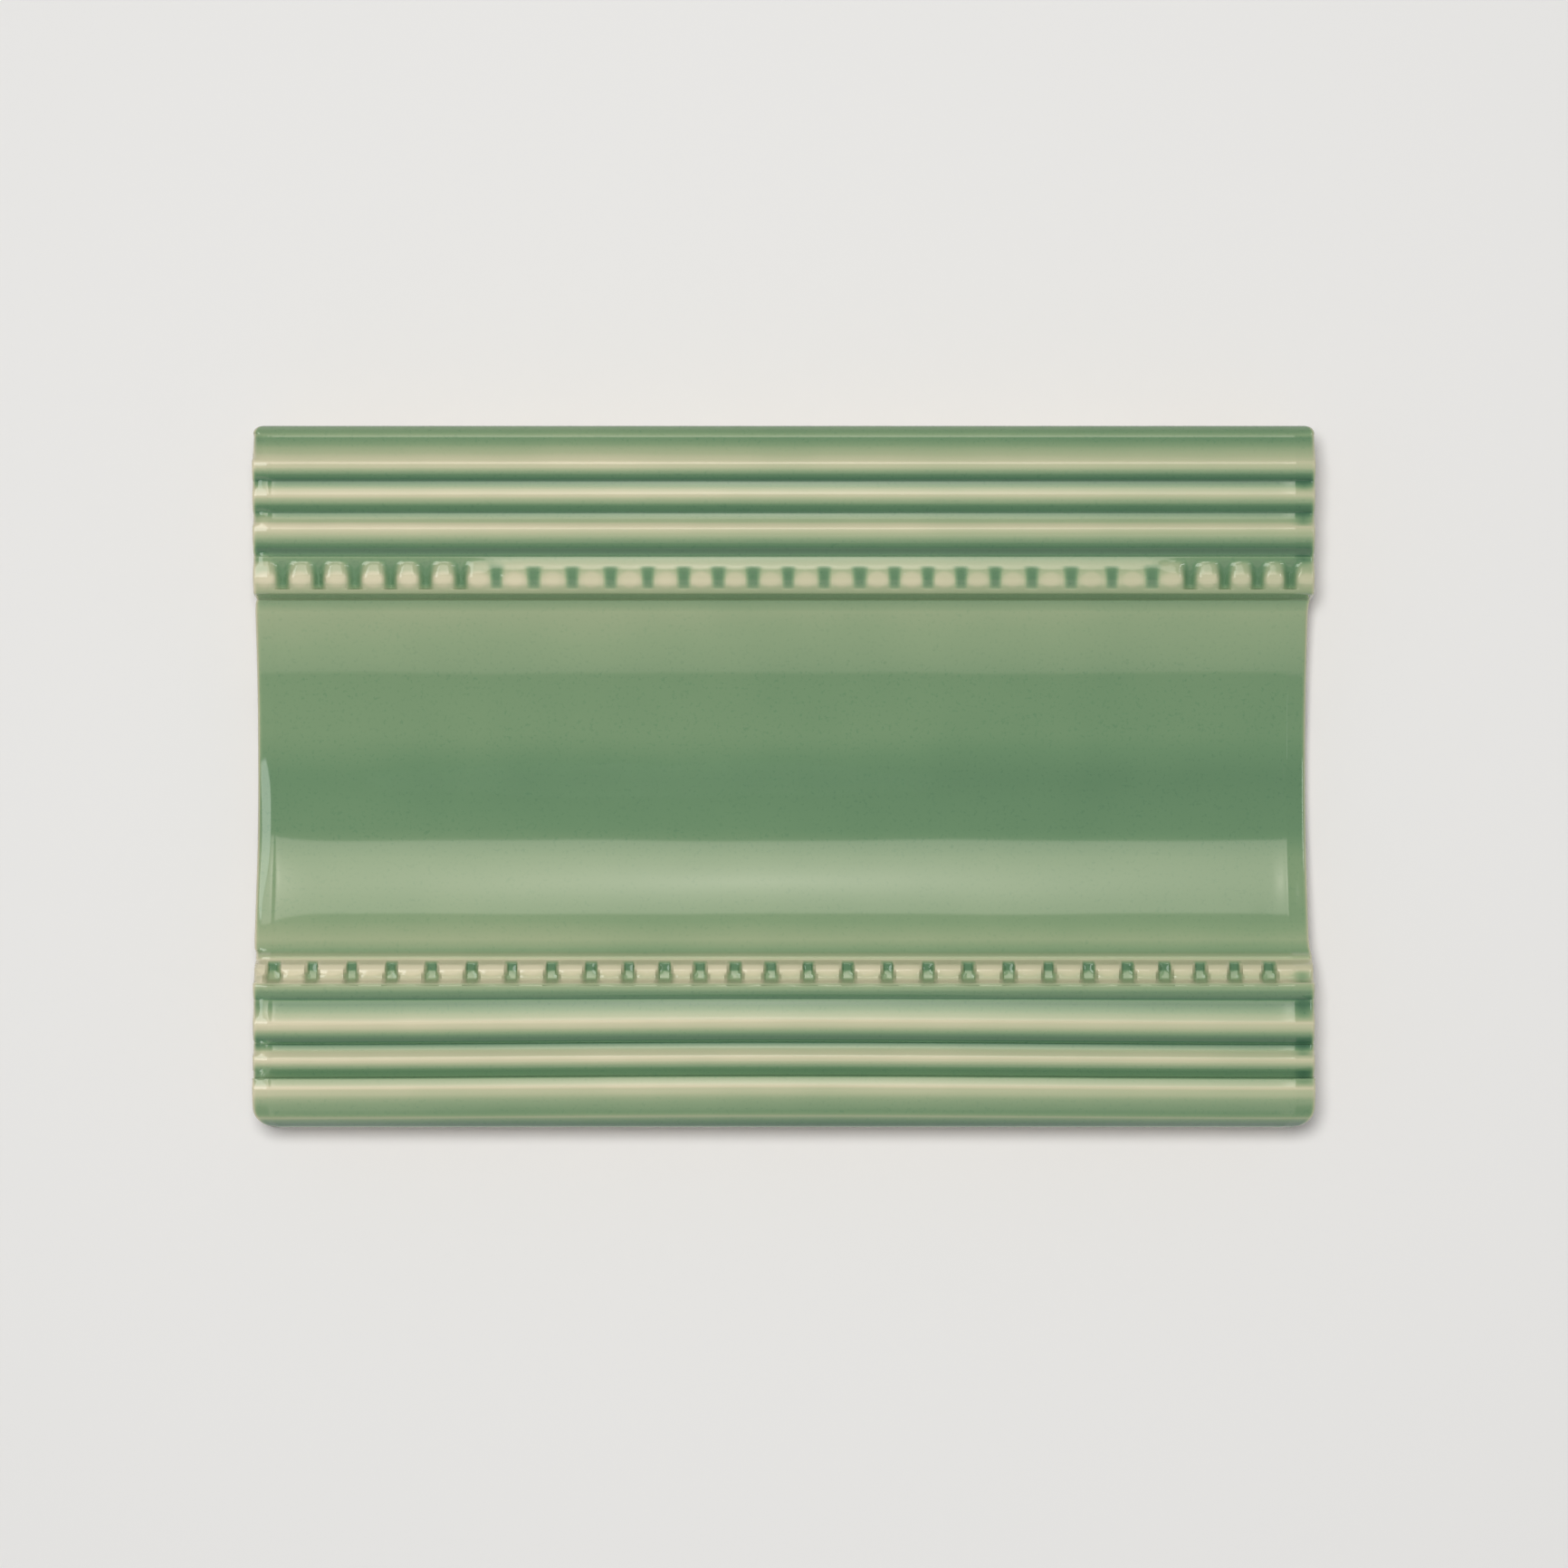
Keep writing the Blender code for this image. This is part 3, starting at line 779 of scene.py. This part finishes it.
# Studio: pale floor, soft key overhead, panels that only show as reflections in the glaze.
# Places and sizes are in metres, apart from the camera's.
studio = {
    "floorColour": (.78, .78, .775), "floorSize": 6.0, "floorGap": .0002,
    "floorRoughness": .9, "floorSheen": .2,
    "world": .31, "worldColour": (1.0, 1.0, .99),
    "key": .57, "keyColour": (1.0, .985, .97), "keyPlace": (-.04, .075, 1.0), "keySize": .18,
    "panelHeight": .85,
    "cameraHeight": 871.8, "cameraY": -1.05, "cameraX": .02,        # in millimetres
    "lens": 136.33, "sensor": 36, "nearest": .05,
}
hotSpot = {"at": (.54, .5), "squeeze": (1.7, 1.9)}      # in shares of the softbox
panels = [
    # name, x from and to, y from and to, glow, extra glow at the hot spot, colour
    ("softbox", (-.215, .165), (.324, .765), 2.3, 3.2, (1.0, .90, .82)),
    ("leftPanel", (-.85, -.225), (-.03, .74), 4.2, 0, (.97, 1.0, .96)),
    ("lowerCard", (-.7, .7), (-1.45, -.396), .85, 0, (1.0, .80, .72)),
    ("rightStrip", (.64, .78), (-.02, .60), 6.0, 0, (1.0, 1.0, 1.0)),
    ("rightSliver", (.255, .285), (-.30, -.02), 3.0, 0, (1.0, 1.0, 1.0)),
]


def panelLight(name, xSpan, ySpan, glow, hot, colour):
    light = bpy.data.lights.new(name, "AREA")
    light.shape = "RECTANGLE"
    light.size = xSpan[1] - xSpan[0]
    light.size_y = ySpan[1] - ySpan[0]
    light.energy = math.pi * light.size * light.size_y
    light.color = colour
    light.use_nodes = True
    tree = light.node_tree
    glowNode = tree.nodes["Emission"]
    glowNode.inputs["Strength"].default_value = glow
    if hot:
        where = tree.nodes.new("ShaderNodeNewGeometry").outputs["Parametric"]
        middle = tree.nodes.new("ShaderNodeMapping")
        (atX, atY), (squeezeX, squeezeY) = hotSpot["at"], hotSpot["squeeze"]
        middle.inputs["Location"].default_value = (-atX * squeezeX, -atY * squeezeY, 0)
        middle.inputs["Scale"].default_value = (squeezeX, squeezeY, 0)
        fade = tree.nodes.new("ShaderNodeTexGradient")
        fade.gradient_type = "QUADRATIC_SPHERE"
        strength = tree.nodes.new("ShaderNodeMapRange")
        strength.inputs["To Min"].default_value = glow
        strength.inputs["To Max"].default_value = glow + hot
        tree.links.new(where, middle.inputs["Vector"])
        tree.links.new(middle.outputs[0], fade.inputs["Vector"])
        tree.links.new(fade.outputs["Fac"], strength.inputs["Value"])
        tree.links.new(strength.outputs[0], glowNode.inputs["Strength"])
    lamp = bpy.data.objects.new(name, light)
    lamp.location = ((xSpan[0] + xSpan[1]) / 2, (ySpan[0] + ySpan[1]) / 2, studio["panelHeight"])
    lamp.visible_camera = False
    lamp.visible_diffuse = False
    bpy.context.scene.collection.objects.link(lamp)


def keyLight():
    light = bpy.data.lights.new("key", "AREA")
    light.shape = "DISK"
    light.size = studio["keySize"]
    distance = math.dist(studio["keyPlace"], (0, 0, 0))
    light.energy = 4 * math.pi * distance ** 2 * studio["key"]
    light.color = studio["keyColour"]
    lamp = bpy.data.objects.new("key", light)
    lamp.location = studio["keyPlace"]
    lamp.rotation_euler = (-lamp.location).to_track_quat("-Z", "Y").to_euler()
    lamp.visible_camera = False
    lamp.visible_glossy = False
    bpy.context.scene.collection.objects.link(lamp)


def makeFloor():
    half = studio["floorSize"] / 2
    top = -studio["floorGap"]
    mesh = bpy.data.meshes.new("studioFloor")
    mesh.from_pydata([(-half, -half, top), (half, -half, top), (half, half, top),
                      (-half, half, top)], [], [(0, 1, 2, 3)])
    floor = bpy.data.objects.new("studioFloor", mesh)
    bpy.context.scene.collection.objects.link(floor)
    paint = bpy.data.materials.new("floorPaint")
    paint.use_nodes = True
    shader = paint.node_tree.nodes["Principled BSDF"]
    shader.inputs["Base Color"].default_value = (*studio["floorColour"], 1)
    shader.inputs["Roughness"].default_value = studio["floorRoughness"]
    shader.inputs["Specular IOR Level"].default_value = studio["floorSheen"]
    mesh.materials.append(paint)


def makeCamera():
    lensData = bpy.data.cameras.new("photoCamera")
    lensData.lens = studio["lens"]
    lensData.sensor_width = studio["sensor"]
    lensData.clip_start = studio["nearest"]
    camera = bpy.data.objects.new("photoCamera", lensData)
    camera.location = (studio["cameraX"] * mm, studio["cameraY"] * mm, studio["cameraHeight"] * mm)
    bpy.context.scene.collection.objects.link(camera)
    bpy.context.scene.camera = camera


def makeStudio():
    scene = bpy.context.scene
    world = bpy.data.worlds.new("studioAir")
    world.use_nodes = True
    air = world.node_tree.nodes["Background"]
    air.inputs["Color"].default_value = (*studio["worldColour"], 1)
    air.inputs["Strength"].default_value = studio["world"]
    scene.world = world
    scene.view_settings.view_transform = "Standard"
    keyLight()
    for panel in panels:
        panelLight(*panel)
    makeFloor()
    makeCamera()


tile = makeTileObject()
tile.data.materials.append(celadonMaterial())
tile.data.materials.append(biscuitMaterial())
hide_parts("cornice_tile")
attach(tile, "root")
print("tile: glazed and placed on its body")

makeStudio()
print("tile: studio lit")
